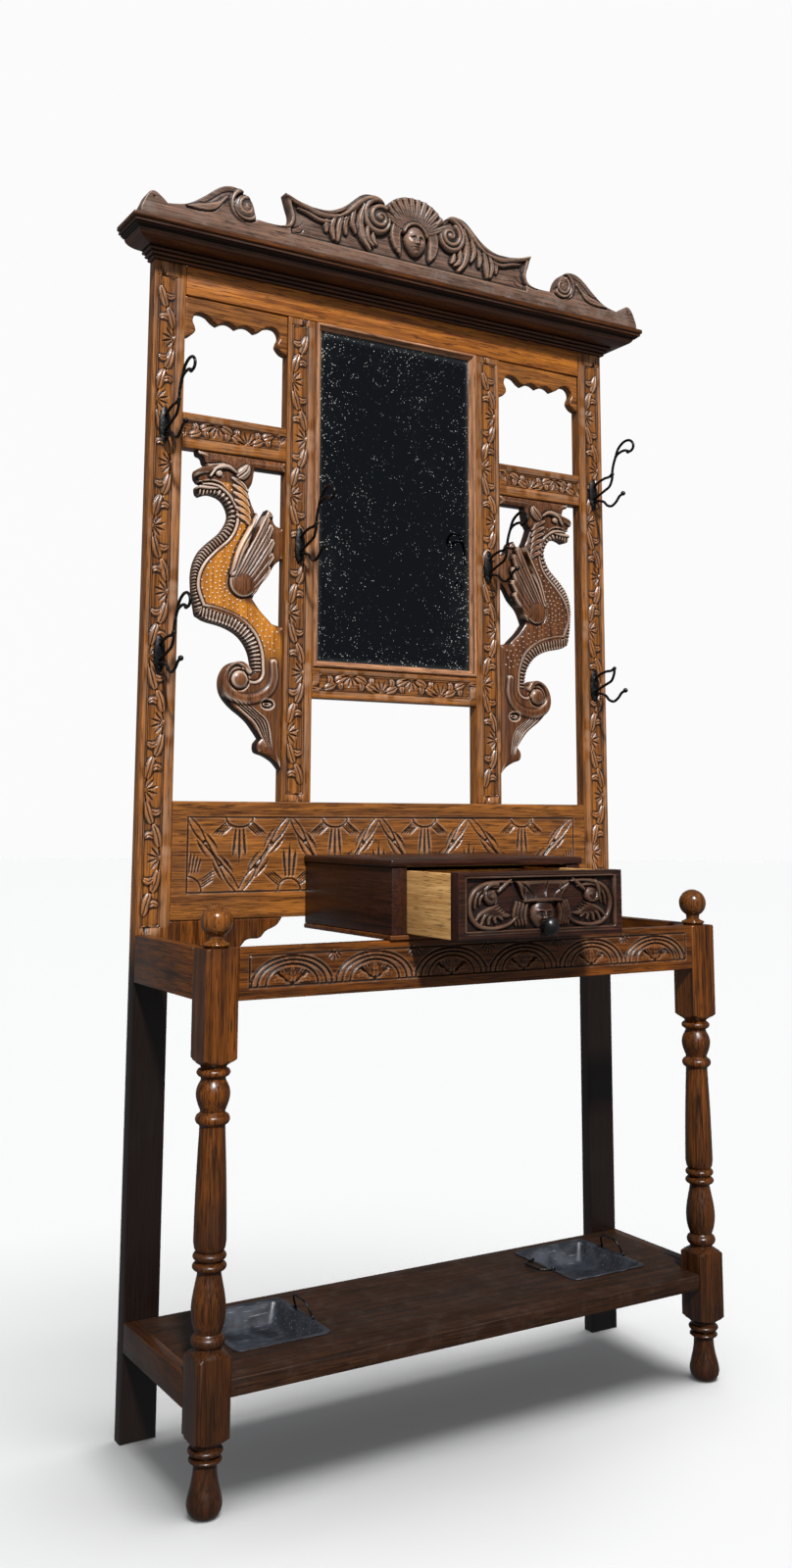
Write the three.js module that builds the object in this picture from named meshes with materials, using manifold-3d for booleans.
// A carved oak hall tree: a tall back frame with a mirror and six coat hooks, a shallow table with a
// glove drawer and two umbrella wells, and a low shelf with two lift-out drip trays.
// Millimetres. +Z is up and the front faces -Y. The frame is laid out with y = 0 on the front face of
// the back frame, and the whole group is then moved so that its origin is the middle of its footprint.
import * as THREE from "three";
import { mergeVertices } from "three/addons/utils/BufferGeometryUtils.js";
import Module from "manifold-3d";

// ---- driving dimensions ----
const WIDTH = 1000; // over the outer faces of the outer stiles
const STILE_WIDTH = 60;
const STILE_THICKNESS = 24;
const INNER_STILE_OUTER_X = 237; // outer edge of an inner stile, from the middle
const INNER_STILE_WIDTH = 58;
const POST = 53; // square of the front post blocks
const DEPTH = 293; // from the back frame's face to the front of the posts
const TABLE_TOP = 778;
const TABLE_RAIL_HEIGHT = 76;
const RAIL_THICKNESS = 22;
const FRAME_TOP = 1940;
const FRIEZE_HEIGHT = 54;
const SHORT_RAIL_BOTTOM = 1608;
const SHORT_RAIL_HEIGHT = 64;
const MIRROR_RAIL_BOTTOM = 1182;
const MIRROR_RAIL_HEIGHT = 56;
const CARVED_BOARD_BOTTOM = 798;
const CARVED_BOARD_HEIGHT = 198;
const CORNICE_HEIGHT = 52;
const CORNICE_PROJECTION = 64;
const CREST_FRONT = -60;
const CREST_THICKNESS = 22;
const SHELF_TOP = 181;
const SHELF_THICKNESS = 25;
const SHELF_BEARER_HEIGHT = 45;
const MOULDING_WIDTH = 12;
const MOULDING_DEPTH = 12;
const GLASS_THICKNESS = 4;
const BOX_HALF_WIDTH = 188;
const BOX_TOP = 904;
const BOX_BOARD = 12;
const BOX_SIDE = 28;
const BOX_FLOOR = 8;
const BOX_FRONT = 297;
const DRAWER_HALF_WIDTH = 158.5;
const DRAWER_FRONT_THICKNESS = 22;
const DRAWER_SIDE = 10;
const DRAWER_LENGTH = 262;
const DRAWER_OPEN = 145; // how far the drawer stands open at rest
const KNOB_LENGTH = 30;
const KNOB_HEIGHT = 18; // middle of the knob above the drawer's lower edge
const TRAY_CENTRE_X = 318;
const TRAY_CENTRE_Y = -114;
const TRAY_LENGTH = 164;
const TRAY_WIDTH = 185;
const TRAY_DEPTH = 34;
const TRAY_RIM = 7;
const TRAY_SLOPE = 16; // how far the walls lean in on their way down
const TRAY_SHEET = 1.6;
const HANDLE_SPAN = 56;
const HANDLE_REACH = 26;
const HANDLE_WIRE = 1.7;
const HOOK_WIRE = 2.7;
const FINIAL_RADIUS = 25;
const GAP = 0.3; // between neighbouring pieces

const HALF = WIDTH / 2;
const INNER_STILE_INNER_X = INNER_STILE_OUTER_X - INNER_STILE_WIDTH;
const FRIEZE_BOTTOM = FRAME_TOP - FRIEZE_HEIGHT;
const OUTER_STILE_INNER_X = HALF - STILE_WIDTH;
const BAY_MIDDLE = (OUTER_STILE_INNER_X + INNER_STILE_OUTER_X) / 2;
const BAY_WIDTH = OUTER_STILE_INNER_X - INNER_STILE_OUTER_X;
const POST_X = HALF - POST / 2;
const POST_Y = -DEPTH + POST / 2;
const CORNICE_TOP = FRAME_TOP + CORNICE_HEIGHT;
const BOX_FLOOR_BOTTOM = TABLE_TOP + GAP;
const DRAWER_BOTTOM_Z = BOX_FLOOR_BOTTOM + BOX_FLOOR + 1;
const DRAWER_TOP_Z = BOX_TOP - BOX_BOARD - 4;
const DRAWER_FACE_Y = -BOX_FRONT - DRAWER_OPEN;
const MIRROR_BOTTOM = MIRROR_RAIL_BOTTOM + MIRROR_RAIL_HEIGHT;

const wasm = await Module();
wasm.setup();

const hallTree = new THREE.Group();
hallTree.name = "hall_tree";
hallTree.position.y = (KNOB_LENGTH + GAP - DRAWER_FACE_Y - STILE_THICKNESS) / 2;

// ---- materials ----
const finish = (color, roughness, metalness) => ({ color, roughness, metalness });
const CARVED_OAK = finish(0x6e3d1c, 0.5, 0);
const PLAIN_OAK = finish(0x7c4520, 0.45, 0);
const DARK_OAK = finish(0x3a2216, 0.5, 0);
const SHELF_OAK = finish(0x35241b, 0.7, 0);
const DRAWER_OAK = finish(0xa87f4e, 0.75, 0);
const POLISHED_OAK = finish(0x8a5a2c, 0.25, 0);
const EBONISED = finish(0x0c0a09, 0.35, 0);
const IRON = finish(0x1e2022, 0.45, 0.8);
const TRAY_IRON = finish(0x2b2f36, 0.5, 0.7);
const MIRROR = finish(0x1a2226, 0.08, 1);

// ---- helpers ----
const add = (name, geometry, look, parent = hallTree) => {
  const mesh = new THREE.Mesh(geometry, new THREE.MeshStandardMaterial(look));
  mesh.name = name;
  parent.add(mesh);
  return mesh;
};

// A box between two opposite corners.
const boxBetween = (x0, x1, y0, y1, z0, z1) => {
  const box = new THREE.BoxGeometry(x1 - x0, y1 - y0, z1 - z0);
  return box.translate((x0 + x1) / 2, (y0 + y1) / 2, (z0 + z1) / 2);
};

// A geometry as a solid that can be joined and cut.
const solid = (geometry) => {
  const bare = geometry.clone();
  bare.deleteAttribute("normal");
  bare.deleteAttribute("uv");
  const merged = mergeVertices(bare, 1e-4);
  return new wasm.Manifold(
    new wasm.Mesh({
      numProp: 3,
      vertProperties: merged.attributes.position.array,
      triVerts: new Uint32Array(merged.index.array),
    }),
  );
};

const geometryOf = (manifold) => {
  const mesh = manifold.getMesh();
  const geometry = new THREE.BufferGeometry();
  geometry.setAttribute("position", new THREE.BufferAttribute(mesh.vertProperties, 3));
  geometry.setIndex(new THREE.BufferAttribute(mesh.triVerts, 1));
  geometry.computeVertexNormals();
  return geometry;
};

const joined = (...geometries) => geometryOf(geometries.map(solid).reduce((a, b) => a.add(b)));
const cut = (geometry, ...tools) =>
  geometryOf(tools.map(solid).reduce((a, b) => a.subtract(b), solid(geometry)));

// An upright board in the XZ plane, from its outline, with its front face at y = front.
const uprightBoard = (shape, front, thickness, curveSegments = 4) => {
  const options = { depth: thickness, bevelEnabled: false, curveSegments };
  const geometry = new THREE.ExtrudeGeometry(shape, options);
  return geometry.rotateX(Math.PI / 2).translate(0, front + thickness, 0);
};

// The same piece on the other side of the middle plane, still facing outwards.
const mirroredX = (geometry) => {
  const flipped = (geometry.index ? geometry.toNonIndexed() : geometry.clone()).scale(-1, 1, 1);
  const position = flipped.attributes.position;
  for (let i = 0; i < position.count; i += 3) {
    const second = new THREE.Vector3().fromBufferAttribute(position, i + 1);
    const third = new THREE.Vector3().fromBufferAttribute(position, i + 2);
    position.setXYZ(i + 1, third.x, third.y, third.z);
    position.setXYZ(i + 2, second.x, second.y, second.z);
  }
  flipped.computeVertexNormals();
  return flipped;
};

// Adds a left-hand piece and its mirror image.
const addPair = (name, leftGeometry, look, parent = hallTree) => {
  add(`${name}_left`, leftGeometry, look, parent);
  add(`${name}_right`, mirroredX(leftGeometry), look, parent);
};

// A round bar of the given radius along smooth points [x, y, z].
const bar = (points, radius, steps, sides = 8) => {
  const path = new THREE.CatmullRomCurve3(points.map((p) => new THREE.Vector3(...p)), false, "centripetal");
  const section = new THREE.Shape();
  for (let i = 0; i < sides; i += 1) {
    const angle = (i / sides) * 2 * Math.PI;
    const place = [radius * Math.cos(angle), radius * Math.sin(angle)];
    if (i === 0) section.moveTo(...place);
    else section.lineTo(...place);
  }
  return new THREE.ExtrudeGeometry(section, { steps, extrudePath: path, bevelEnabled: false });
};

// A turned piece about a vertical axis: profile rows are [radius, height], from bottom to top.
const turned = (profile, x, y, sides = 14) => {
  const points = profile.map(([radius, height]) => new THREE.Vector2(radius, height));
  return new THREE.LatheGeometry(points, sides).rotateX(Math.PI / 2).translate(x, y, 0);
};

// ---- back frame ----
const backFrame = () => {
  const back = STILE_THICKNESS;
  const stile = boxBetween(-HALF, -OUTER_STILE_INNER_X, 0, back, 0, FRAME_TOP);
  addPair("back_stile", stile, CARVED_OAK);

  const innerBottom = CARVED_BOARD_BOTTOM + CARVED_BOARD_HEIGHT + GAP;
  const inner = boxBetween(
    -INNER_STILE_OUTER_X, -INNER_STILE_INNER_X, 0, back, innerBottom, FRIEZE_BOTTOM - GAP);
  addPair("inner_stile", inner, CARVED_OAK);

  const between = OUTER_STILE_INNER_X - GAP;
  add("frieze_rail", boxBetween(-between, between, 0, back, FRIEZE_BOTTOM, FRAME_TOP), PLAIN_OAK);
  const boardTop = CARVED_BOARD_BOTTOM + CARVED_BOARD_HEIGHT;
  add("carved_board", boxBetween(-between, between, 0, back, CARVED_BOARD_BOTTOM, boardTop), CARVED_OAK);

  const shortRail = boxBetween(
    -between, -INNER_STILE_OUTER_X - GAP, 0, back,
    SHORT_RAIL_BOTTOM, SHORT_RAIL_BOTTOM + SHORT_RAIL_HEIGHT);
  addPair("short_rail", shortRail, CARVED_OAK);

  const mirrorHalf = INNER_STILE_INNER_X - GAP;
  add("mirror_rail", boxBetween(
    -mirrorHalf, mirrorHalf, 0, back, MIRROR_RAIL_BOTTOM, MIRROR_BOTTOM), CARVED_OAK);
};

// The scalloped board under the frieze rail. Half of its lower edge is drawn from the stile to the
// middle as [distance from the stile, depth below the rail], and the other half mirrors it.
const spandrels = () => {
  const footAndArch = [[0, 76], [11, 72], [20, 62], [19, 53], [15, 44], [17, 35], [24, 28], [34, 27]];
  const archToScallop = [[34, 27], [44, 30], [54, 38], [64, 43]];
  const scallop = [[64, 43], [74, 37], [83, 35], [92, 37]];
  const halfBay = BAY_WIDTH / 2 - GAP;
  const top = FRIEZE_BOTTOM - GAP;
  const place = ([along, down], side) =>
    new THREE.Vector2(-BAY_MIDDLE + side * (halfBay - along), top - down);
  const middle = [halfBay, 42];
  const shape = new THREE.Shape();
  shape.moveTo(-BAY_MIDDLE - halfBay, top);
  for (const run of [footAndArch, archToScallop, [...scallop, middle]]) {
    const points = run.map((p) => place(p, -1));
    if (run === footAndArch) shape.lineTo(points[0].x, points[0].y);
    shape.splineThru(points.slice(1));
  }
  for (const run of [[middle, ...scallop.slice().reverse()], archToScallop.slice().reverse(),
    footAndArch.slice().reverse()]) {
    shape.splineThru(run.slice(1).map((p) => place(p, 1)));
  }
  shape.lineTo(-BAY_MIDDLE + halfBay, top);
  shape.closePath();
  addPair("spandrel", uprightBoard(shape, 3, STILE_THICKNESS - 6, 3), CARVED_OAK);
};

// The bracket that fills the corner under the carved board, beside the outer stile.
const cornerBrackets = () => {
  const top = CARVED_BOARD_BOTTOM - GAP;
  const edge = -OUTER_STILE_INNER_X + GAP;
  const shape = new THREE.Shape();
  shape.moveTo(edge, top);
  shape.lineTo(edge, top - 96);
  shape.splineThru([
    [-420, 704], [-398, 714], [-386, 724], [-362, 727], [-344, 739],
    [-314, 747], [-298, 762], [-274, 764], [-262, 775], [-242, 784], [-231, top],
  ].map(([x, z]) => new THREE.Vector2(x, z)));
  shape.closePath();
  addPair("corner_bracket", uprightBoard(shape, 1, STILE_THICKNESS - 4, 2), CARVED_OAK);
};

// The fretted dragon: it hangs from a shaped bracket under the short rail and its wing, back and
// lower leaf meet the inner stile.
const dragons = () => {
  const top = SHORT_RAIL_BOTTOM - GAP;
  const edge = -INNER_STILE_OUTER_X - GAP;
  const points = (rows) => rows.map(([x, z]) => new THREE.Vector2(x, z));
  const shape = new THREE.Shape();
  shape.moveTo(edge, top);
  shape.lineTo(-410, top);
  shape.splineThru(points([[-408, 1600], [-399, 1596], [-395, 1586], [-386, 1581], [-371, 1585]]));
  // snout, open mouth and lower jaw
  shape.splineThru(points([[-395, 1579], [-410, 1572], [-411, 1558], [-405, 1550]]));
  shape.lineTo(-397, 1548);
  shape.splineThru(points([[-408, 1542], [-407, 1530], [-401, 1526]]));
  // throat, breast and belly
  shape.splineThru(points([
    [-383, 1532], [-360, 1526], [-347, 1508], [-346, 1490], [-360, 1466], [-381, 1447],
    [-401, 1424], [-411, 1392], [-409, 1350], [-402, 1316]]));
  shape.splineThru(points([
    [-385, 1307], [-348, 1299], [-319, 1284], [-300, 1258], [-292, 1222]]));
  // tail volute and the leaf below it
  shape.splineThru(points([
    [-300, 1224], [-308, 1235], [-325, 1239], [-344, 1230], [-355, 1208], [-352, 1182],
    [-334, 1160], [-302, 1136], [-278, 1106]]));
  shape.splineThru(points([[-286, 1096], [-284, 1082], [-268, 1076], [-250, 1066], [edge, 1052]]));
  // up the stile to the haunch, then the gap under the wing
  shape.lineTo(edge, 1306);
  shape.lineTo(-258, 1310);
  shape.splineThru(points([[-282, 1332], [-298, 1352]]));
  shape.splineThru(points([[-286, 1378], [-266, 1398], [-252, 1420], [edge, 1430]]));
  // wing tip against the stile and back down the wing's upper edge
  shape.lineTo(edge, 1486);
  shape.splineThru(points([[-254, 1492], [-262, 1510], [-272, 1517]]));
  shape.splineThru(points([[-284, 1496], [-298, 1468], [-314, 1442]]));
  // back of the neck, mane and ear
  shape.splineThru(points([[-306, 1470], [-296, 1502], [-304, 1524], [-312, 1546]]));
  shape.splineThru(points([[-303, 1562], [-299, 1588]]));
  shape.lineTo(edge, 1588);
  shape.closePath();
  addPair("dragon", uprightBoard(shape, 2, STILE_THICKNESS - 4, 2), CARVED_OAK);
};

// ---- cornice: three mitred mouldings under a cap ----
// Profile rows are [projection from the frame face, height above the moulding's bottom].
const corniceProfile = () => {
  const reach = CORNICE_PROJECTION;
  const capThickness = 9;
  const top = CORNICE_HEIGHT - capThickness - GAP;
  const cove = [];
  for (let i = 0; i <= 4; i += 1) {
    const angle = (i / 4) * (Math.PI / 2);
    cove.push([reach - 10 - 32 * Math.cos(angle), 15 + 17 * Math.sin(angle)]);
  }
  return [
    [0, 0], [5, 0], [5, 4], [9, 4], [9, 8], [13, 8], [13, 12], [18, 12], ...cove,
    [reach - 7, 34], [reach - 4, 37], [reach - 4, top], [0, top],
  ];
};

const cornice = () => {
  const profile = corniceProfile();
  const top = profile[profile.length - 1][1];
  const far = HALF + CORNICE_PROJECTION;

  // Seen from above, the mitre runs out at 45 degrees from the frame's front corner.
  const region = (corners) => {
    const plan = new THREE.Shape(corners.map((p) => new THREE.Vector2(...p)));
    const block = new THREE.ExtrudeGeometry(plan, { depth: CORNICE_HEIGHT + 20, bevelEnabled: false });
    return block.translate(0, 0, FRAME_TOP - 10);
  };
  const beyond = CORNICE_PROJECTION + 20;
  const behind = STILE_THICKNESS + 20;
  const clear = GAP / 2;
  const trim = (geometry, corners) => geometryOf(solid(geometry).intersect(solid(region(corners))));

  const frontShape = new THREE.Shape(profile.map(([out, up]) => new THREE.Vector2(-out - GAP, up)));
  const run = new THREE.ExtrudeGeometry(frontShape, { depth: 2 * far, bevelEnabled: false });
  run.applyMatrix4(new THREE.Matrix4().makeBasis(
    new THREE.Vector3(0, 1, 0), new THREE.Vector3(0, 0, 1), new THREE.Vector3(1, 0, 0)));
  run.translate(-far, 0, FRAME_TOP);
  add("cornice_front", trim(run, [
    [-HALF + clear, 0], [-HALF - beyond + clear, -beyond],
    [HALF + beyond - clear, -beyond], [HALF - clear, 0]]), PLAIN_OAK);

  const sideShape = new THREE.Shape(profile.map(([out, up]) => new THREE.Vector2(-out - GAP, up)));
  const length = STILE_THICKNESS + beyond;
  const side = new THREE.ExtrudeGeometry(sideShape, { depth: length, bevelEnabled: false });
  side.rotateX(Math.PI / 2).translate(-HALF, STILE_THICKNESS, FRAME_TOP);
  addPair("cornice_return", trim(side, [
    [-HALF + behind - clear, behind], [-HALF - beyond - beyond, behind],
    [-HALF - beyond - beyond, -beyond], [-HALF - beyond - clear, -beyond]]), PLAIN_OAK);

  const capBottom = FRAME_TOP + top + GAP;
  add("cornice_cap", boxBetween(-far, far, -CORNICE_PROJECTION, STILE_THICKNESS, capBottom, CORNICE_TOP),
    DARK_OAK);
};

// The fretted crest board that stands on the cap: scrolls, horns and a domed middle.
// Each run is drawn from the middle out as [distance from the middle, height above the cap].
const crest = () => {
  const base = CORNICE_TOP + GAP;
  const runs = [
    [[0, 156], [24, 154], [48, 143], [64, 125]],
    [[64, 125], [78, 137], [98, 141], [120, 134], [152, 106], [182, 90], [214, 87], [248, 91], [277, 102]],
    [[277, 102], [270, 79], [264, 59], [270, 43], [292, 36], [336, 37]],
    [[336, 37], [344, 63], [360, 81], [382, 87], [406, 79], [436, 55], [466, 35], [502, 27]],
    [[502, 27], [514, 37], [528, 44], [540, 35], [551, 10]],
  ];
  const shape = new THREE.Shape();
  shape.moveTo(0, base + runs[0][0][1]);
  for (const run of runs) {
    shape.splineThru(run.slice(1).map(([x, z]) => new THREE.Vector2(x, base + z)));
  }
  shape.lineTo(551, base);
  shape.lineTo(-551, base);
  shape.lineTo(-551, base + 10);
  for (const run of runs.slice().reverse()) {
    shape.splineThru(run.slice().reverse().slice(1).map(([x, z]) => new THREE.Vector2(-x, base + z)));
  }
  shape.closePath();
  add("crest", uprightBoard(shape, CREST_FRONT, CREST_THICKNESS, 2), CARVED_OAK);
};

// ---- mirror ----
const mirror = () => {
  const half = INNER_STILE_INNER_X - GAP;
  const low = MIRROR_BOTTOM + GAP;
  const high = FRIEZE_BOTTOM - GAP;
  const inner = half - MOULDING_WIDTH;
  const front = -4;
  // A mitred length of moulding between two outer corners, drawn as a flat trapezium.
  const strip = (outerA, outerB, innerB, innerA) => {
    const shape = new THREE.Shape([outerA, outerB, innerB, innerA].map((p) => new THREE.Vector2(...p)));
    return uprightBoard(shape, front, MOULDING_DEPTH);
  };
  const mitre = GAP / 2;
  add("mirror_moulding_top", strip(
    [-half + mitre, high], [half - mitre, high],
    [inner - mitre, high - MOULDING_WIDTH], [-inner + mitre, high - MOULDING_WIDTH]), PLAIN_OAK);
  add("mirror_moulding_bottom", strip(
    [-half + mitre, low], [half - mitre, low],
    [inner - mitre, low + MOULDING_WIDTH], [-inner + mitre, low + MOULDING_WIDTH]), PLAIN_OAK);
  const side = strip(
    [-half, low + mitre], [-half, high - mitre],
    [-inner, high - MOULDING_WIDTH - mitre], [-inner, low + MOULDING_WIDTH + mitre]);
  addPair("mirror_moulding", side, PLAIN_OAK);
  const glassFront = front + MOULDING_DEPTH + GAP;
  const glassBack = glassFront + GLASS_THICKNESS;
  add("mirror_glass", boxBetween(-half + 1, half - 1, glassFront, glassBack, low + 1, high - 1), MIRROR);
  add("mirror_backboard", boxBetween(
    -half + 1, half - 1, glassBack + GAP, STILE_THICKNESS, low + 1, high - 1), DARK_OAK);
};

// ---- table ----
// Turned stretch of a front post, as [radius, height] from its lower end.
const FOOT_TURNING = [
  [0, 0], [20, 0], [25, 6], [25.5, 16], [23, 30], [19, 48], [17, 62], [18, 70], [23, 76], [24, 82],
  [22, 88], [19, 92], [22, 101], [0, 101]];
const LEG_TURNING = [
  [0, 213], [22, 213], [19, 219], [20, 225], [23.5, 228], [24, 233], [20.5, 238], [21, 242], [24, 252],
  [25, 262], [23, 278], [19, 300], [18, 322], [23, 327], [25, 333], [22, 339], [25, 346], [22.5, 352],
  [22, 360], [24, 373], [23.5, 410], [20.5, 480], [19, 526], [23, 530], [24.7, 536], [21, 542],
  [20, 548], [21.5, 564], [25, 582], [24, 591], [21.5, 595], [25, 600], [22.5, 605], [23.5, 612],
  [23.7, 626], [0, 626]];

const posts = () => {
  const square = (low, high, softness) => {
    const half = POST / 2;
    const middle = boxBetween(-half, half, -half, half, low + softness, high);
    // The lower corners of a block are turned away to a round shoulder.
    const shoulder = new THREE.CylinderGeometry(half * Math.SQRT2, half * 0.94, softness, 4);
    shoulder.rotateX(Math.PI / 2).rotateZ(Math.PI / 4).translate(0, 0, low + softness / 2);
    return [middle, shoulder];
  };
  const [upperBlock, upperShoulder] = square(619, TABLE_TOP, 8);
  const lowerBlock = boxBetween(-POST / 2, POST / 2, -POST / 2, POST / 2, 101, 213);
  const leg = joined(
    upperBlock, upperShoulder, lowerBlock, turned(LEG_TURNING, 0, 0), turned(FOOT_TURNING, 0, 0));
  addPair("post", leg.translate(-POST_X, POST_Y, 0), DARK_OAK);

  const ball = [[0, TABLE_TOP + GAP], [21, TABLE_TOP + GAP], [21, TABLE_TOP + 4], [12, TABLE_TOP + 8],
    [8, TABLE_TOP + 14], [8, TABLE_TOP + 20]];
  const ballMiddle = TABLE_TOP + 41;
  const ballHeight = 22;
  for (let i = 1; i <= 8; i += 1) {
    const angle = -Math.PI / 2 + ((i + 0.6) / 8.6) * Math.PI;
    const radius = i === 8 ? 0 : FINIAL_RADIUS * Math.cos(angle);
    ball.push([radius, ballMiddle + ballHeight * Math.sin(angle)]);
  }
  addPair("finial", turned(ball, -POST_X, POST_Y), POLISHED_OAK);
};

const tableRails = () => {
  const low = TABLE_TOP - TABLE_RAIL_HEIGHT;
  const inner = HALF - POST - GAP;
  add("front_rail", boxBetween(-inner, inner, -DEPTH + 1, -DEPTH + 1 + RAIL_THICKNESS, low, TABLE_TOP),
    CARVED_OAK);
  const end = boxBetween(-HALF, -HALF + RAIL_THICKNESS, -DEPTH + POST + GAP, -GAP, low, TABLE_TOP);
  addPair("end_rail", end, DARK_OAK);
};

// ---- glove box and drawer ----
const gloveBox = () => {
  const top = BOX_TOP - BOX_BOARD;
  const floorTop = BOX_FLOOR_BOTTOM + BOX_FLOOR;
  const side = boxBetween(
    -BOX_HALF_WIDTH, -BOX_HALF_WIDTH + BOX_SIDE, -BOX_FRONT, -GAP, floorTop + GAP, top - GAP);
  addPair("box_side", side, DARK_OAK);
  const overhang = 4;
  const topBoard = boxBetween(
    -BOX_HALF_WIDTH - overhang, BOX_HALF_WIDTH + overhang, -BOX_FRONT - overhang, -GAP, top, BOX_TOP);
  add("box_top", topBoard, DARK_OAK);
  add("box_floor", boxBetween(
    -BOX_HALF_WIDTH - 2, BOX_HALF_WIDTH + 2, -BOX_FRONT, -GAP, BOX_FLOOR_BOTTOM, floorTop), DARK_OAK);
  const inside = BOX_HALF_WIDTH - BOX_SIDE - GAP;
  add("box_back", boxBetween(-inside, inside, -8, -GAP, floorTop + GAP, top - GAP), DARK_OAK);
};

const drawer = () => {
  const frontBack = DRAWER_FACE_Y + DRAWER_FRONT_THICKNESS;
  const rear = DRAWER_FACE_Y + DRAWER_LENGTH;
  const half = DRAWER_HALF_WIDTH;
  const floorZ = DRAWER_BOTTOM_Z + 8;
  const floorThickness = 6;
  add("drawer_front", boxBetween(
    -half, half, DRAWER_FACE_Y, frontBack, DRAWER_BOTTOM_Z, DRAWER_TOP_Z), CARVED_OAK);
  const side = boxBetween(
    -half, -half + DRAWER_SIDE, frontBack + GAP, rear, DRAWER_BOTTOM_Z, DRAWER_TOP_Z - 2);
  addPair("drawer_side", side, DRAWER_OAK);
  const inside = half - DRAWER_SIDE - GAP;
  add("drawer_back", boxBetween(
    -inside, inside, rear - DRAWER_SIDE, rear, DRAWER_BOTTOM_Z, DRAWER_TOP_Z - 6), DRAWER_OAK);
  add("drawer_floor", boxBetween(
    -inside, inside, frontBack + GAP, rear - DRAWER_SIDE - GAP, floorZ, floorZ + floorThickness),
  DRAWER_OAK);
  const knobProfile = [[0, 0], [8, 0], [7, 6], [7.5, 11], [13, 15], [14.5, 20], [12.5, 26], [6, 29.5],
    [0, KNOB_LENGTH]];
  const knob = turned(knobProfile, 0, 0).rotateX(Math.PI / 2);
  add("drawer_knob", knob.translate(0, DRAWER_FACE_Y - GAP, DRAWER_BOTTOM_Z + KNOB_HEIGHT), EBONISED);
};

// ---- shelf and trays ----
const shelf = () => {
  const bearer = boxBetween(
    -HALF, -HALF + RAIL_THICKNESS, -DEPTH + POST + GAP, -GAP,
    SHELF_TOP - SHELF_BEARER_HEIGHT, SHELF_TOP);
  addPair("shelf_bearer", bearer, DARK_OAK);
  const wide = HALF - RAIL_THICKNESS - GAP;
  const narrow = HALF - POST - GAP;
  const front = -DEPTH + 3;
  const notch = -DEPTH + POST + GAP;
  const outline = [
    [-wide, -GAP], [-wide, notch], [-narrow, notch], [-narrow, front],
    [narrow, front], [narrow, notch], [wide, notch], [wide, -GAP]];
  const shape = new THREE.Shape(outline.map((p) => new THREE.Vector2(...p)));
  const board = new THREE.ExtrudeGeometry(shape, { depth: SHELF_THICKNESS, bevelEnabled: false });
  board.translate(0, 0, SHELF_TOP - SHELF_THICKNESS);
  const holeX = TRAY_LENGTH / 2 - TRAY_RIM + 2;
  const holeY = TRAY_WIDTH / 2 - TRAY_RIM + 2;
  const trayHole = (middle) => boxBetween(
    middle - holeX, middle + holeX, TRAY_CENTRE_Y - holeY, TRAY_CENTRE_Y + holeY,
    SHELF_TOP - SHELF_THICKNESS - 1, SHELF_TOP + 1);
  add("shelf_board", cut(board, trayHole(-TRAY_CENTRE_X), trayHole(TRAY_CENTRE_X)), SHELF_OAK);
};

// A frustum with rectangular ends: half sizes at the top and bottom of a height.
const rectangularFrustum = (topX, topY, bottomX, bottomY, low, high) => {
  const block = new THREE.BoxGeometry(2, 2, high - low);
  const position = block.attributes.position;
  for (let i = 0; i < position.count; i += 1) {
    const upper = position.getZ(i) > 0;
    const x = Math.sign(position.getX(i)) * (upper ? topX : bottomX);
    const y = Math.sign(position.getY(i)) * (upper ? topY : bottomY);
    position.setXYZ(i, x, y, upper ? high : low);
  }
  return block;
};

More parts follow.
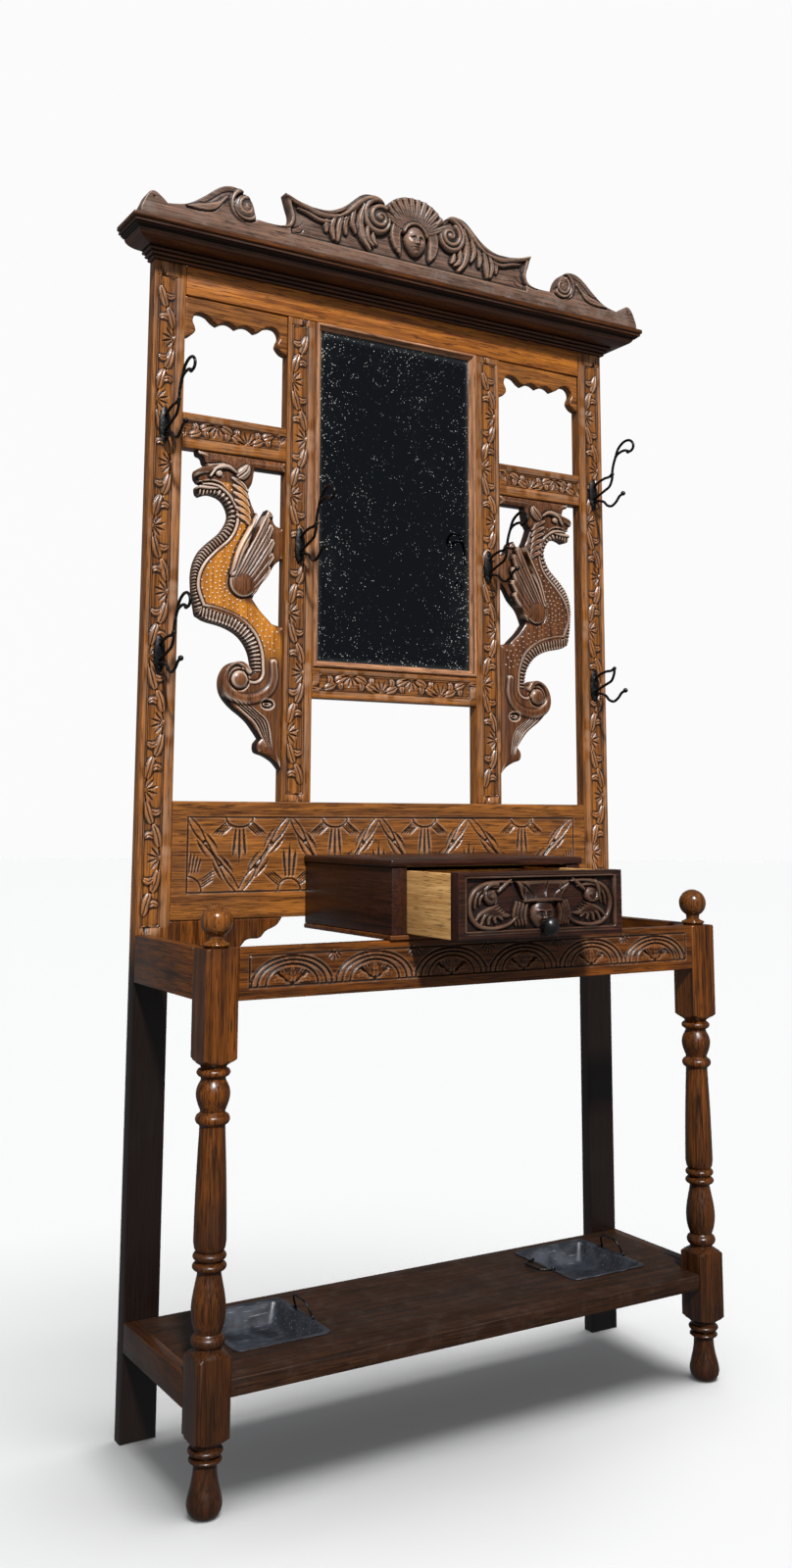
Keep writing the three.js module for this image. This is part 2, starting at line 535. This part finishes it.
const tray = (side, name) => {
  const group = new THREE.Group();
  group.position.set(side * TRAY_CENTRE_X, TRAY_CENTRE_Y, SHELF_TOP + GAP);
  hallTree.add(group);
  const mouthX = TRAY_LENGTH / 2 - TRAY_RIM;
  const mouthY = TRAY_WIDTH / 2 - TRAY_RIM;
  const lean = TRAY_SLOPE;
  const rim = boxBetween(
    -TRAY_LENGTH / 2, TRAY_LENGTH / 2, -TRAY_WIDTH / 2, TRAY_WIDTH / 2, 0, TRAY_SHEET);
  const shell = rectangularFrustum(
    mouthX, mouthY, mouthX - lean, mouthY - lean, -TRAY_DEPTH, TRAY_SHEET / 2);
  const wall = TRAY_SHEET * 1.1;
  const slopeOver = lean * (TRAY_SHEET + 1) / TRAY_DEPTH;
  const hollow = rectangularFrustum(
    mouthX - wall + slopeOver, mouthY - wall + slopeOver, mouthX - wall - lean, mouthY - wall - lean,
    -TRAY_DEPTH + TRAY_SHEET, TRAY_SHEET + 1);
  add(name, cut(joined(rim, shell), hollow), TRAY_IRON, group);

  // Wire bail at each end: it turns about a line just above the rim.
  const bail = (end, lift, label) => {
    const hinge = new THREE.Group();
    const height = TRAY_SHEET + HANDLE_WIRE + 0.5;
    hinge.position.set(end * (TRAY_LENGTH / 2 - 3), 0, height);
    hinge.rotation.y = -lift;
    group.add(hinge);
    const half = HANDLE_SPAN / 2;
    const reach = HANDLE_REACH;
    const points = [
      [0, -half - 6, 0], [0, -half, 0], [4, -half + 1, 0], [reach - 8, -half + 4, 0],
      [reach, -half + 12, 0], [reach, half - 12, 0], [reach - 8, half - 4, 0], [4, half - 1, 0],
      [0, half, 0], [0, half + 6, 0]];
    add(label, bar(points, HANDLE_WIRE, 22, 6), TRAY_IRON, hinge);
  };
  const leaningIn = THREE.MathUtils.degToRad(112);
  bail(-1, Math.PI, `${name}_handle_left`);
  bail(1, leaningIn, `${name}_handle_right`);
};

// ---- coat hooks ----
// Drawn in side view as [reach from the frame, height from the middle of the plate].
const hook = (name, x, z, tall) => {
  const wire = (rows, steps) => bar(rows.map(([out, up]) => [0, -out, up]), HOOK_WIRE, steps, 6);
  const plate = new THREE.SphereGeometry(1, 12, 8).scale(11, 7, 33);
  const flat = boxBetween(-20, 20, GAP, 20, -50, 50);
  const pieces = [
    cut(plate, flat),
    wire([[3, -12], [20, -6], [38, 0], [54, 6], [62, 18], [64, 29]], 7),
    wire([[3, 20], [20, 25], [40, 27], [52, 26], [63, 30]], 5),
    wire([[3, -16], [22, -18], [36, -23], [46, -32], [60, -36], [74, -30], [84, -21], [95, -17]], 10),
    new THREE.SphereGeometry(4.6, 8, 5).translate(0, -96, -16.5),
  ];
  if (tall) {
    pieces.push(wire([[62, 22], [65, 40], [70, 54], [77, 65], [89, 70], [103, 71], [115, 67]], 9));
    pieces.push(wire(
      [[74, 62], [83, 78], [96, 87], [108, 90], [120, 88], [129, 80], [129, 71], [122, 66], [113, 66]], 11));
  }
  const geometry = joined(...pieces).translate(x, -GAP * 2, z);
  add(name, geometry, IRON);
};

const hooks = () => {
  const outer = 474;
  const inner = 208;
  hook("hook_upper_left", -outer, 1643, true);
  hook("hook_upper_right", outer, 1637, true);
  hook("hook_lower_left", -outer + 2, 1243, true);
  hook("hook_lower_right", outer - 4, 1237, false);
  hook("hook_mirror_left", -inner, 1457, true);
  hook("hook_mirror_right", inner, 1457, true);
};

backFrame();
spandrels();
cornerBrackets();
dragons();
cornice();
crest();
mirror();
posts();
tableRails();
gloveBox();
drawer();
shelf();
tray(-1, "tray_left");
tray(1, "tray_right");
hooks();

export default hallTree;
